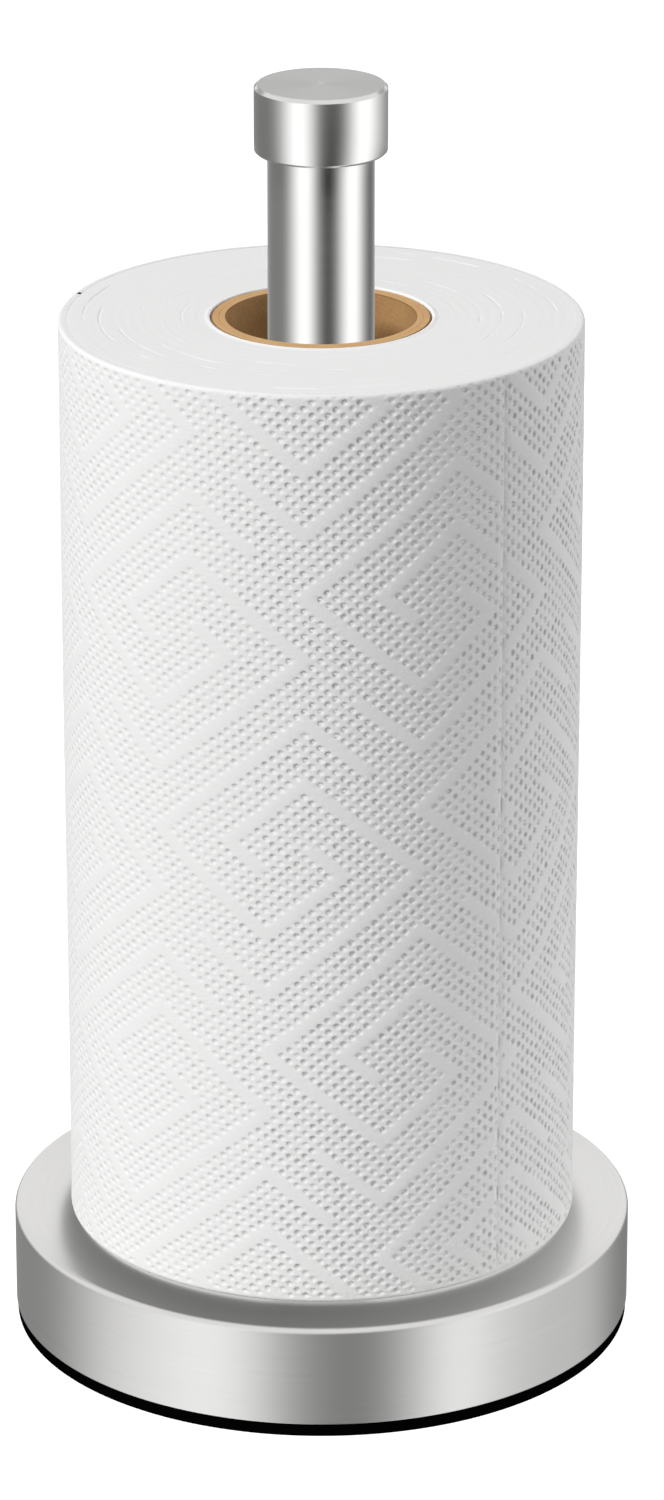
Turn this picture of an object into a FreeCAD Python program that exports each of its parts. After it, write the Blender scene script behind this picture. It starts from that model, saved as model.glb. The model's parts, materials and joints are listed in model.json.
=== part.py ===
"""Upright countertop paper towel holder with a roll on its post.

Millimetres. +Z is up, the origin is the centre of the base's underside, and the front faces -Y.
"""

import FreeCAD, Part
import math
import os

from FreeCAD import Vector

# ---- driving dimensions ----------------------------------------------------------------------

BASE_RADIUS = 80.0  # outside of the drawn base cover
BASE_TOP = 30.0  # height of the base's top face
PAD_THICKNESS = 3.5  # foam rubber pad under the base
SHEET_STEEL = 0.8  # wall of the base cover
BASE_EDGE_RADIUS = 1.5  # rolled edge round the top of the cover

POST_RADIUS = 13.25
POST_WALL = 1.0
POST_TOP = 311.5  # the knob's underside rests here
GASKET_THICKNESS = 1.0

KNOB_RADIUS = 16.5
KNOB_HEIGHT = 17.0
KNOB_WALL = 1.0
KNOB_TOP_BEVEL = 0.8
KNOB_FOOT_BEVEL = 0.6

ROLL_RADIUS = 65.6
ROLL_HEIGHT = 239.0
ROLL_EDGE_RADIUS = 1.0  # soft edges of the wound paper
CORE_BORE_RADIUS = 23.5
CORE_SPLIT_RADIUS = 25.35  # middle of the gap between the two plies of the core
CORE_RADIUS = 27.3
PLY_GAP = 0.3  # clearance between the two plies, which are on different bodies
ROLL_GAP = 0.3  # clearance between the roll and the base's top face
OUTER_SHEET = 0.6  # how far the last sheet stands out at its free edge
PERFORATION_ANGLE = 43.0  # last perforated line, in degrees to the right of the front
SHEET_LENGTH = 240.0  # from that line to the free edge of the last sheet, round the roll

PRESS_CLEARANCE = 0.04  # radial gap where one piece is pressed or screwed into another
SEAT_CLEARANCE = 0.3  # radial gap where one piece drops into another

# ---- sizes that follow -----------------------------------------------------------------------

COVER_BORE_RADIUS = 4.5
COVER_CEILING = BASE_TOP - SHEET_STEEL
COVER_INSIDE_RADIUS = BASE_RADIUS - SHEET_STEEL

PAD_RADIUS = BASE_RADIUS - 0.3
PAD_GROOVES = (30.0, 50.0, 68.0)  # middle radius of each grip groove
PAD_GROOVE_WIDTH = 3.0
PAD_GROOVE_DEPTH = 1.2

TRAY_RADIUS = COVER_INSIDE_RADIUS - SEAT_CLEARANCE
TRAY_PLATE = 2.5
TRAY_RIB_TOP = 12.0
TRAY_RIB_WIDTH = 1.6
TRAY_RIBS = 8
TRAY_HOLE_RADIUS = 16.0  # room for a socket on the anchor bolt

WEIGHT_RADIUS = 77.5
WEIGHT_FOOT = 15.0
WEIGHT_POCKET = (26.0, 48.0)  # inner and outer radius of the pocket in the underside
WEIGHT_POCKET_DEPTH = 5.0
COUNTERBORE_RADIUS = 13.0
COUNTERBORE_DEPTH = 6.0

SCREW_RADIUS = 2.0  # M4
SCREW_HEAD_RADIUS = 3.6
SCREW_HEAD_HEIGHT = 2.6
SCREW_LENGTH = 14.0
SCREW_COUNT = 4
SCREW_CIRCLE_RADIUS = 60.0
SCREW_BOSS_RADIUS = 6.5
SCREW_RECESS = (0.9, 4.2, 1.4)  # width, length and depth of the cross recess

BOLT_RADIUS = 4.0  # M8
BOLT_LENGTH = 35.0
BOLT_HEAD_HEIGHT = 5.3
BOLT_ACROSS_FLATS = 13.0
FLAT_WASHER_THICKNESS = 1.6
SPRING_WASHER_THICKNESS = 2.0

INSERT_RADIUS = POST_RADIUS - POST_WALL - PRESS_CLEARANCE
FOOT_INSERT_LENGTH = 26.0
TOP_INSERT_LENGTH = 22.0

STUD_RADIUS = 3.0  # M6
STUD_FOOT = POST_TOP - 15.5
STUD_TOP = POST_TOP + 11.5
KNOB_WASHER_RADIUS = 11.0
KNOB_WASHER_THICKNESS = 0.8

KNOB_TOP = POST_TOP + KNOB_HEIGHT
ROLL_FOOT = BASE_TOP + ROLL_GAP
ROLL_TOP = ROLL_FOOT + ROLL_HEIGHT
WOUND_RADIUS = ROLL_RADIUS - OUTER_SHEET
TUBE_FOOT = BASE_TOP + GASKET_THICKNESS
WASHER_CEILING = WEIGHT_FOOT + COUNTERBORE_DEPTH
BOLT_SEAT = WASHER_CEILING - FLAT_WASHER_THICKNESS - SPRING_WASHER_THICKNESS
SCREW_SEAT = PAD_THICKNESS + SCREW_HEAD_HEIGHT + 0.2
TAIL_ANGLE = PERFORATION_ANGLE + math.degrees(SHEET_LENGTH / ROLL_RADIUS)

UP = Vector(0, 0, 1)
CENTRE = Vector(0, 0, 0)


# ---- shape helpers ---------------------------------------------------------------------------


def cylinder(radius, foot, top):
    """A solid cylinder on the Z axis between two heights."""
    return Part.makeCylinder(radius, top - foot, Vector(0, 0, foot), UP)


def ring(inner, outer, foot, top):
    """A plain ring on the Z axis."""
    return cylinder(outer, foot, top).cut(cylinder(inner, foot - 1, top + 1))


def rounded_corner(before, corner, after):
    """Start, middle and end of the arc that rounds one corner of an outline."""
    point = Vector(corner[0], 0, corner[1])
    size = corner[2] if len(corner) > 2 else 0.0
    if size == 0.0:
        return point, None, point
    back = (Vector(before[0], 0, before[1]) - point).normalize()
    ahead = (Vector(after[0], 0, after[1]) - point).normalize()
    half_angle = back.getAngle(ahead) / 2
    reach = size / math.tan(half_angle)
    bisector = (back + ahead).normalize()
    middle = point + bisector * (size / math.sin(half_angle) - size)
    return point + back * reach, middle, point + ahead * reach


def turned(outline):
    """Revolve a closed outline of (radius, height, optional corner radius) about Z."""
    count = len(outline)
    corners = [
        rounded_corner(outline[i - 1], outline[i], outline[(i + 1) % count]) for i in range(count)
    ]
    edges = []
    for i, (start, middle, end) in enumerate(corners):
        if middle:
            edges.append(Part.Arc(start, middle, end).toShape())
        following = corners[(i + 1) % count][0]
        edges.append(Part.LineSegment(end, following).toShape())
    return Part.Face(Part.Wire(edges)).revolve(CENTRE, UP, 360)


def around(shape, count, first=0.0):
    """Copies of a shape spaced evenly about Z."""
    copies = []
    for i in range(count):
        copy = shape.copy()
        copy.rotate(CENTRE, UP, first + i * 360.0 / count)
        copies.append(copy)
    return copies


def radial_rib(inner, outer, foot, top, width):
    """A straight rib that runs outwards along +X."""
    return Part.makeBox(outer - inner, width, top - foot, Vector(inner, -width / 2, foot))


def save(shape, node):
    """Write one node's solid, or group of solids, to its own file."""
    shape = shape.removeSplitter()
    solids = shape.Solids
    result = solids[0] if len(solids) == 1 else Part.makeCompound(solids)
    result.exportStep("parts/" + node + ".step")
    print(f"{node:18s} solids {len(solids)}  volume {result.Volume / 1000:9.2f} cm3", result.isValid())


# ---- base ------------------------------------------------------------------------------------


def base_cover():
    """Drawn stainless cover, open underneath, with a hole for the anchor bolt."""
    hem = SHEET_STEEL * 0.45
    outline = [
        (BASE_RADIUS, PAD_THICKNESS, hem),
        (BASE_RADIUS, BASE_TOP, BASE_EDGE_RADIUS),
        (COVER_BORE_RADIUS, BASE_TOP),
        (COVER_BORE_RADIUS, COVER_CEILING),
        (COVER_INSIDE_RADIUS, COVER_CEILING, BASE_EDGE_RADIUS - SHEET_STEEL),
        (COVER_INSIDE_RADIUS, PAD_THICKNESS, hem),
    ]
    return turned(outline)


def base_weight():
    """Cast iron disc that keeps the holder steady, screwed to the tray and clamped by the bolt."""
    pocket_inner, pocket_outer = WEIGHT_POCKET
    pocket_top = WEIGHT_FOOT + WEIGHT_POCKET_DEPTH
    outline = [
        (COUNTERBORE_RADIUS, WEIGHT_FOOT, 0.5),
        (pocket_inner, WEIGHT_FOOT, 1.0),
        (pocket_inner, pocket_top, 1.0),
        (pocket_outer, pocket_top, 1.0),
        (pocket_outer, WEIGHT_FOOT, 1.0),
        (WEIGHT_RADIUS, WEIGHT_FOOT, 1.5),
        (WEIGHT_RADIUS, COVER_CEILING, 1.5),
        (COVER_BORE_RADIUS, COVER_CEILING),
        (COVER_BORE_RADIUS, WASHER_CEILING),
        (COUNTERBORE_RADIUS, WASHER_CEILING),
    ]
    tapped = cylinder(SCREW_RADIUS + PRESS_CLEARANCE, WEIGHT_FOOT - 1, WEIGHT_FOOT + 8)
    tapped.translate(Vector(SCREW_CIRCLE_RADIUS, 0, 0))
    return turned(outline).cut(around(tapped, SCREW_COUNT, 45))


def base_tray():
    """Moulded bottom plate with ribs, screw bosses and a rim that fits inside the cover."""
    plate_top = PAD_THICKNESS + TRAY_PLATE
    tray = ring(TRAY_HOLE_RADIUS, TRAY_RADIUS, PAD_THICKNESS, plate_top)
    rim = ring(TRAY_RADIUS - TRAY_RIB_WIDTH, TRAY_RADIUS, plate_top, TRAY_RIB_TOP)
    collar = ring(TRAY_HOLE_RADIUS, TRAY_HOLE_RADIUS + TRAY_RIB_WIDTH, plate_top, TRAY_RIB_TOP)
    rib = radial_rib(
        TRAY_HOLE_RADIUS + 0.5, TRAY_RADIUS - 0.5, plate_top - 0.5, TRAY_RIB_TOP, TRAY_RIB_WIDTH
    )
    boss = cylinder(SCREW_BOSS_RADIUS, plate_top - 0.5, WEIGHT_FOOT)
    boss.translate(Vector(SCREW_CIRCLE_RADIUS, 0, 0))
    tray = tray.fuse([rim, collar] + around(rib, TRAY_RIBS) + around(boss, SCREW_COUNT, 45))
    hole = cylinder(SCREW_RADIUS + 0.2, 0, WEIGHT_FOOT + 1)
    sink = cylinder(SCREW_HEAD_RADIUS + 0.5, 0, SCREW_SEAT)
    drilled = hole.fuse(sink)
    drilled.translate(Vector(SCREW_CIRCLE_RADIUS, 0, 0))
    return tray.cut(around(drilled, SCREW_COUNT, 45))


def tray_screws():
    """Pan head screws that hold the tray up against the weight."""
    shank = cylinder(SCREW_RADIUS, SCREW_SEAT - 0.5, SCREW_SEAT + SCREW_LENGTH)
    head_foot = SCREW_SEAT - SCREW_HEAD_HEIGHT
    head = turned(
        [
            (0, head_foot),
            (SCREW_HEAD_RADIUS, head_foot, 1.2),
            (SCREW_HEAD_RADIUS, SCREW_SEAT),
            (0, SCREW_SEAT),
        ]
    )
    width, length, depth = SCREW_RECESS
    slot = Part.makeBox(length, width, depth, Vector(-length / 2, -width / 2, head_foot))
    cross = slot.copy()
    cross.rotate(CENTRE, UP, 90)
    screw = shank.fuse(head).cut([slot, cross])
    screw.translate(Vector(SCREW_CIRCLE_RADIUS, 0, 0))
    return Part.makeCompound(around(screw, SCREW_COUNT, 45))


def non_slip_pad():
    """Round foam rubber pad, glued to the tray, with grip grooves in its underside."""
    pad = turned(
        [
            (0, 0),
            (PAD_RADIUS, 0, 0.6),
            (PAD_RADIUS, PAD_THICKNESS, 0.4),
            (0, PAD_THICKNESS),
        ]
    )
    half = PAD_GROOVE_WIDTH / 2
    grooves = [
        turned(
            [
                (radius - half, -1),
                (radius + half, -1),
                (radius + half, PAD_GROOVE_DEPTH, 0.5),
                (radius - half, PAD_GROOVE_DEPTH, 0.5),
            ]
        )
        for radius in PAD_GROOVES
    ]
    return pad.cut(grooves)


# ---- what clamps the post to the base --------------------------------------------------------


def anchor_bolt():
    """Hexagon bolt that pulls the post down on to the base from underneath."""
    corner_radius = BOLT_ACROSS_FLATS / math.sqrt(3)
    corners = [
        Vector(
            corner_radius * math.cos(math.radians(60 * i)),
            corner_radius * math.sin(math.radians(60 * i)),
            BOLT_SEAT - BOLT_HEAD_HEIGHT,
        )
        for i in range(7)
    ]
    head = Part.Face(Part.makePolygon(corners)).extrude(UP * BOLT_HEAD_HEIGHT)
    chamfered = turned(
        [
            (0, BOLT_SEAT - BOLT_HEAD_HEIGHT),
            (BOLT_ACROSS_FLATS / 2 - 0.2, BOLT_SEAT - BOLT_HEAD_HEIGHT),
            (corner_radius + 0.5, BOLT_SEAT - BOLT_HEAD_HEIGHT + 0.9),
            (corner_radius + 0.5, BOLT_SEAT),
            (0, BOLT_SEAT),
        ]
    )
    shank = turned(
        [
            (0, BOLT_SEAT - 0.5),
            (BOLT_RADIUS, BOLT_SEAT - 0.5),
            (BOLT_RADIUS, BOLT_SEAT + BOLT_LENGTH - 1.0),
            (BOLT_RADIUS - 1.0, BOLT_SEAT + BOLT_LENGTH),
            (0, BOLT_SEAT + BOLT_LENGTH),
        ]
    )
    return head.common(chamfered).fuse(shank)


def flat_washer():
    """Wide washer that spreads the bolt's load in the weight's counterbore."""
    return ring(4.2, 12.0, WASHER_CEILING - FLAT_WASHER_THICKNESS, WASHER_CEILING)


def spring_washer():
    """Split lock washer between the bolt head and the flat washer."""
    washer = ring(4.1, 7.3, BOLT_SEAT, BOLT_SEAT + SPRING_WASHER_THICKNESS)
    split = Part.makeBox(8, 1.0, 8, Vector(2, -0.5, -4))
    split.rotate(CENTRE, Vector(1, 0, 0), 30)
    split.translate(Vector(0, 0, BOLT_SEAT + SPRING_WASHER_THICKNESS / 2))
    return washer.cut(split)


def post_gasket():
    """Thin rubber ring between the foot of the post and the base's top face."""
    return ring(COVER_BORE_RADIUS, POST_RADIUS, BASE_TOP, TUBE_FOOT)


# ---- post ------------------------------------------------------------------------------------


def post_tube():
    """Stainless tube that the roll stands around."""
    bore = POST_RADIUS - POST_WALL
    return turned(
        [
            (bore, TUBE_FOOT),
            (POST_RADIUS, TUBE_FOOT, 0.3),
            (POST_RADIUS, POST_TOP, 0.3),
            (bore, POST_TOP),
        ]
    )


def turned_plug(foot, top):
    """Plug with a chamfer at each end and two grooves that grip the tube."""
    groove = 0.6
    outline = [(0, foot), (INSERT_RADIUS - 0.5, foot), (INSERT_RADIUS, foot + 0.5)]
    for share in (1 / 3, 2 / 3):
        middle = foot + (top - foot) * share
        outline.append((INSERT_RADIUS, middle - 1.2))
        outline.append((INSERT_RADIUS - groove, middle - 1.2))
        outline.append((INSERT_RADIUS - groove, middle + 1.2))
        outline.append((INSERT_RADIUS, middle + 1.2))
    outline += [(INSERT_RADIUS, top - 0.5), (INSERT_RADIUS - 0.5, top), (0, top)]
    return turned(outline)


def post_foot_insert():
    """Aluminium plug pressed into the foot of the tube and tapped for the anchor bolt."""
    plug = turned_plug(TUBE_FOOT, TUBE_FOOT + FOOT_INSERT_LENGTH)
    tapped = cylinder(BOLT_RADIUS + PRESS_CLEARANCE, TUBE_FOOT - 1, BOLT_SEAT + BOLT_LENGTH + 2)
    return plug.cut(tapped)


def post_top_insert():
    """Aluminium plug pressed into the top of the tube and tapped for the knob's stud."""
    plug = turned_plug(POST_TOP - TOP_INSERT_LENGTH, POST_TOP)
    tapped = cylinder(STUD_RADIUS + PRESS_CLEARANCE, STUD_FOOT - 1, POST_TOP + 1)
    return plug.cut(tapped)


# ---- knob ------------------------------------------------------------------------------------


def knob_cap():
    """Drawn stainless cap with a bevelled top edge."""
    inside = KNOB_RADIUS - KNOB_WALL
    ceiling = KNOB_TOP - KNOB_WALL
    return turned(
        [
            (KNOB_RADIUS - KNOB_FOOT_BEVEL, POST_TOP),
            (KNOB_RADIUS, POST_TOP + KNOB_FOOT_BEVEL, 0.2),
            (KNOB_RADIUS, KNOB_TOP - KNOB_TOP_BEVEL, 0.2),
            (KNOB_RADIUS - KNOB_TOP_BEVEL, KNOB_TOP, 0.2),
            (0, KNOB_TOP),
            (0, ceiling),
            (inside, ceiling),
            (inside, POST_TOP),
        ]
    )


def knob_plug():
    """Moulded plug inside the cap: a foot plate, a boss round the stud, and ribs."""
    radius = KNOB_RADIUS - KNOB_WALL - PRESS_CLEARANCE
    plate_top = POST_TOP + 3.0
    boss_top = KNOB_TOP - KNOB_WALL - 0.5
    plate = cylinder(radius, POST_TOP, plate_top)
    boss = cylinder(6.0, plate_top - 0.5, boss_top)
    rib = radial_rib(5.0, radius - 0.3, plate_top - 0.5, boss_top, 1.5)
    seat = cylinder(KNOB_WASHER_RADIUS + 0.2, POST_TOP - 1, POST_TOP + KNOB_WASHER_THICKNESS)
    bore = cylinder(STUD_RADIUS + PRESS_CLEARANCE, POST_TOP - 1, STUD_TOP + 0.5)
    return plate.fuse([boss] + around(rib, 6)).cut([seat, bore])


def knob_stud():
    """Threaded stud, moulded into the plug, that screws the knob on to the post."""
    bevel = 0.6
    return turned(
        [
            (0, STUD_FOOT),
            (STUD_RADIUS - bevel, STUD_FOOT),
            (STUD_RADIUS, STUD_FOOT + bevel),
            (STUD_RADIUS, STUD_TOP),
            (0, STUD_TOP),
        ]
    )


def knob_washer():
    """Nylon washer in the knob's foot, which stops it working loose."""
    return ring(STUD_RADIUS + 0.3, KNOB_WASHER_RADIUS, POST_TOP, POST_TOP + KNOB_WASHER_THICKNESS)


# ---- roll ------------------------------------------------------------------------------------


def core_inner_ply():
    """Inner ply of the wound cardboard core, open right through for the post."""
    return ring(CORE_BORE_RADIUS, CORE_SPLIT_RADIUS - PLY_GAP / 2, ROLL_FOOT, ROLL_TOP)


def core_outer_ply():
    """Outer ply of the core, glued to the first turn of the paper."""
    return ring(CORE_SPLIT_RADIUS + PLY_GAP / 2, CORE_RADIUS, ROLL_FOOT, ROLL_TOP)


def paper_roll():
    """The wound paper under the last sheet."""
    return turned(
        [
            (CORE_RADIUS, ROLL_FOOT),
            (WOUND_RADIUS, ROLL_FOOT, ROLL_EDGE_RADIUS),
            (WOUND_RADIUS, ROLL_TOP, ROLL_EDGE_RADIUS),
            (CORE_RADIUS, ROLL_TOP),
        ]
    )


def outer_sheet():
    """The last turn of paper, which steps down by its own thickness at its free edge."""
    foot = ROLL_FOOT + ROLL_EDGE_RADIUS
    top = ROLL_TOP - ROLL_EDGE_RADIUS
    start_thickness = OUTER_SHEET / 2
    steps = 36
    points = []
    for i in range(steps + 1):
        thickness = start_thickness + (OUTER_SHEET - start_thickness) * i / steps
        radius = WOUND_RADIUS + thickness
        turn = math.radians(TAIL_ANGLE - 90 + 360 * i / steps)
        points.append(Vector(radius * math.cos(turn), radius * math.sin(turn), foot))
    spiral = Part.BSplineCurve()
    spiral.interpolate(points)
    step = Part.LineSegment(points[-1], points[0])
    outside = Part.Wire([spiral.toShape(), step.toShape()])
    turn_of_paper = Part.Face(outside).extrude(UP * (top - foot))
    return turn_of_paper.cut(cylinder(WOUND_RADIUS, foot - 1, top + 1))


NODES = [
    base_cover,
    base_weight,
    base_tray,
    tray_screws,
    non_slip_pad,
    anchor_bolt,
    flat_washer,
    spring_washer,
    post_gasket,
    post_tube,
    post_foot_insert,
    post_top_insert,
    knob_cap,
    knob_plug,
    knob_stud,
    knob_washer,
    core_inner_ply,
    core_outer_ply,
    paper_roll,
    outer_sheet,
]

os.makedirs("parts", exist_ok=True)
for build_node in NODES:
    save(build_node(), build_node.__name__)
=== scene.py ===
"""Looks of an upright paper towel holder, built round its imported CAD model. Metres, +Z up."""

import json
import math

import bpy
import numpy as np
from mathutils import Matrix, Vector

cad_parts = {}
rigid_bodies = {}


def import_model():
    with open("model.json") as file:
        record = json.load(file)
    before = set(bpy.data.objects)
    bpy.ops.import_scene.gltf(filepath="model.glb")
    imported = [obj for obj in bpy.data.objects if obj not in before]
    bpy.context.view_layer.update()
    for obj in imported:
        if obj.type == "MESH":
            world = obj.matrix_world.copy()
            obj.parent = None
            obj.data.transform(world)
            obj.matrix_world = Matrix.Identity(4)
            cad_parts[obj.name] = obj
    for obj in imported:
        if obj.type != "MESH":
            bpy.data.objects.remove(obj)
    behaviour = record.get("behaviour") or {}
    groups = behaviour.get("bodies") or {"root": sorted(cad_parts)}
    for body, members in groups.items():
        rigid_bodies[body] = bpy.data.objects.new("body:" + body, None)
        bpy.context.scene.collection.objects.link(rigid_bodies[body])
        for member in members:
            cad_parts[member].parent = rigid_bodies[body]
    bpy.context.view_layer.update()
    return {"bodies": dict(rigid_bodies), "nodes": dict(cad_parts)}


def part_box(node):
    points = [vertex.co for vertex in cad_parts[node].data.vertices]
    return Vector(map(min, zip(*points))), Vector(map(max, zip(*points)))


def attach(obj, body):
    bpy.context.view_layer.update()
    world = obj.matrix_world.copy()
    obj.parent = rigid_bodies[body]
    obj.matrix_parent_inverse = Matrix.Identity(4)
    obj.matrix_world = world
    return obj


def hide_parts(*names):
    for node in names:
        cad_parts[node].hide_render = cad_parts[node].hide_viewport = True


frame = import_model()

MM = 0.001
TURN = 2 * math.pi

# ---- sizes, from the frame where it holds them -----------------------------------------------

WEIGHT_INSET = 2.5 * MM  # from the outside of the base to its weight
BASE_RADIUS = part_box("base_weight")[1].x + WEIGHT_INSET
BASE_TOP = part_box("base_cover")[1].z
BASE_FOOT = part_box("base_cover")[0].z
STEEL = 0.8 * MM
BASE_EDGE = 1.5 * MM
COVER_BORE = 4.5 * MM

PAD_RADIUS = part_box("non_slip_pad")[1].x
PAD_GROOVES = (30 * MM, 50 * MM, 68 * MM)
PAD_GROOVE_HALF_WIDTH = 1.5 * MM
PAD_GROOVE_DEPTH = 1.2 * MM

POST_RADIUS = 13.25 * MM
POST_BORE = 12.25 * MM
POST_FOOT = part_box("post_tube")[0].z
POST_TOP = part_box("post_tube")[1].z

KNOB_RADIUS = 16.5 * MM
KNOB_WALL = 1.0 * MM
KNOB_FOOT_BEVEL = 0.6 * MM
KNOB_TOP_BEVEL = 0.8 * MM
KNOB_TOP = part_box("knob_cap")[1].z

CORE_BORE = 23.5 * MM
CORE_SPLIT = 25.35 * MM  # where the inner ply, which lifts, meets the outer one, which spins
CORE_SPLIT_GAP = 0.03 * MM
CORE_RADIUS = 27.3 * MM
WOUND_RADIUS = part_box("paper_roll")[1].x
ROLL_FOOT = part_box("paper_roll")[0].z
ROLL_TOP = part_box("paper_roll")[1].z
LAST_TURN = 0.6 * MM  # room for the last turn of paper outside the wound paper
ROLL_RADIUS = WOUND_RADIUS + LAST_TURN
ROLL_EDGE = 1.0 * MM  # radius of the roll's soft edges

PERFORATION = math.radians(43.0)  # to the right of the front
SHEET_LENGTH = 240 * MM

# ---- small tools -----------------------------------------------------------------------------


def smoothstep(low, high, value):
    """0 below low, 1 above high, and smooth between."""
    share = np.clip((value - low) / (high - low), 0, 1)
    return share * share * (3 - 2 * share)


def plain_object(name, points, faces):
    """A mesh object in the scene, with no material and on no body."""
    mesh = bpy.data.meshes.new(name)
    mesh.from_pydata([tuple(p) for p in points], [], faces)
    made = bpy.data.objects.new(name, mesh)
    bpy.context.collection.objects.link(made)
    return made


def mesh_object(name, points, faces, body, replaced, material):
    """A smooth-shaded piece that rides on a body and stands for one CAD node."""
    piece = plain_object(name, points, faces)
    piece.data.shade_smooth()
    piece.data.materials.append(material)
    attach(piece, body)
    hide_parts(replaced)
    return piece


def rounded(outline, steps=6):
    """A closed outline of (radius, height, corner radius), with its corners as short arcs.

    Straight runs get a point just beside each corner, so that smooth shading stays on the arc.
    """
    points = []
    count = len(outline)
    for i, (radius, height, size) in enumerate(outline):
        corner = Vector((radius, height))
        before = Vector(outline[i - 1][:2]) - corner
        after = Vector(outline[(i + 1) % count][:2]) - corner
        if size == 0:
            points.append(corner)
            continue
        half_angle = before.angle(after) / 2
        reach = size / math.tan(half_angle)
        centre = corner + (before.normalized() + after.normalized()).normalized() * (
            size / math.sin(half_angle)
        )
        start = corner + before.normalized() * reach
        end = corner + after.normalized() * reach
        beside = min(size * 0.4, 0.3 * MM)
        points.append(start + before.normalized() * min(beside, (before.length - reach) * 0.4))
        for k in range(steps + 1):
            arm = (start - centre).lerp(end - centre, k / steps).normalized() * size
            points.append(centre + arm)
        points.append(end + after.normalized() * min(beside, (after.length - reach) * 0.4))
    return points


def turned(outline, segments):
    """Points and faces of a closed outline revolved about Z. Points on the axis are shared."""
    points = []
    columns = []
    for radius, height in outline:
        if radius < 1e-7:
            columns.append([len(points)] * segments)
            points.append((0.0, 0.0, height))
            continue
        columns.append(list(range(len(points), len(points) + segments)))
        for k in range(segments):
            turn = TURN * k / segments
            points.append((radius * math.cos(turn), radius * math.sin(turn), height))
    faces = []
    for i, column in enumerate(columns):
        ahead = columns[(i + 1) % len(columns)]
        for k in range(segments):
            n = (k + 1) % segments
            face = []
            for index in (column[k], column[n], ahead[n], ahead[k]):
                if index not in face:
                    face.append(index)
            if len(face) > 2:
                faces.append(face)
    return points, faces


# ---- materials -------------------------------------------------------------------------------


class Nodes:
    """Short ways to add nodes to a tree."""

    def __init__(self, tree):
        self.tree = tree

    def node(self, kind, inputs=None, **settings):
        node = self.tree.nodes.new("ShaderNode" + kind)
        for key, value in settings.items():
            setattr(node, key, value)
        for key, value in (inputs or {}).items():
            self.feed(node, key, value)
        return node

    def feed(self, node, key, value):
        if isinstance(value, bpy.types.NodeSocket):
            self.tree.links.new(value, node.inputs[key])
        else:
            node.inputs[key].default_value = value

    def math(self, operation, first, second=0.0, third=0.0):
        inputs = {0: first, 1: second, 2: third}
        return self.node("Math", inputs, operation=operation).outputs[0]

    def blend(self, share, low, high):
        """A number or colour between two others."""
        colour = isinstance(high, tuple) or getattr(high, "type", "") == "RGBA"
        kind = "RGBA" if colour else "FLOAT"
        first, second, output = (6, 7, 2) if colour else (2, 3, 0)
        mix = self.node("Mix", {0: share, first: low, second: high}, data_type=kind)
        return mix.outputs[output]

    def noise(self, place, scale, detail=2.0, roughness=0.5):
        inputs = {"Vector": place, "Scale": scale, "Detail": detail, "Roughness": roughness}
        return self.node("TexNoise", inputs).outputs["Fac"]

    def bands(self, place, stops):
        """Greys that change with the bearing of a place, from (bearing in degrees, grey) stops."""
        parts = self.node("SeparateXYZ", {0: place}).outputs
        toward = self.math("MULTIPLY", parts[1], -1.0)
        bearing = self.math("ARCTAN2", parts[0], toward)
        share = self.math("MULTIPLY_ADD", bearing, 1 / TURN, 0.5)
        ramp = self.node("ValToRGB", {0: share})
        ramp.color_ramp.interpolation = "B_SPLINE"
        elements = ramp.color_ramp.elements
        while len(elements) < len(stops):
            elements.new(0.5)
        peak = max(grey for degrees, grey in stops)
        for element, (degrees, grey) in zip(elements, stops):
            element.position = degrees / 360 + 0.5
            element.color = (grey / peak, grey / peak, grey / peak, 1)
        inputs = {0: ramp.outputs["Color"], "Scale": peak}
        return self.node("VectorMath", inputs, operation="SCALE").outputs[0]

    def bump(self, height, strength, distance, under=None):
        inputs = {"Height": height, "Strength": strength, "Distance": distance}
        if under:
            inputs["Normal"] = under
        return self.node("Bump", inputs).outputs["Normal"]

    def place(self):
        return self.node("TexCoord").outputs["Object"]

    def radius(self):
        """How far a place lies from the Z axis."""
        parts = self.node("SeparateXYZ", {0: self.place()}).outputs
        flat = self.node("CombineXYZ", {0: parts[0], 1: parts[1]}).outputs[0]
        return self.node("VectorMath", {0: flat}, operation="LENGTH").outputs["Value"]

    def round_z(self, along, across):
        """Places for a texture drawn out round the Z axis: long along the turn, fine across it."""
        parts = self.node("SeparateXYZ", {0: self.place()}).outputs
        radius = self.radius()
        safe = self.math("MAXIMUM", radius, 1e-5)
        cosine = self.math("MULTIPLY", self.math("DIVIDE", parts[0], safe), along)
        sine = self.math("MULTIPLY", self.math("DIVIDE", parts[1], safe), along)
        depth = self.math("MULTIPLY", self.math("ADD", radius, parts[2]), across)
        return self.node("CombineXYZ", {0: cosine, 1: sine, 2: depth}).outputs[0]


class Shader(Nodes):
    """A material's nodes, which end in one Principled BSDF."""

    def __init__(self, name, **constants):
        self.material = bpy.data.materials.new(name)
        self.material.use_nodes = True
        super().__init__(self.material.node_tree)
        self.surface = self.tree.nodes["Principled BSDF"]
        for socket, value in constants.items():
            self.surface.inputs[socket.replace("_", " ")].default_value = value

    def set(self, **sockets):
        for socket, value in sockets.items():
            self.feed(self.surface, socket.replace("_", " "), value)
        return self.material


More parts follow.
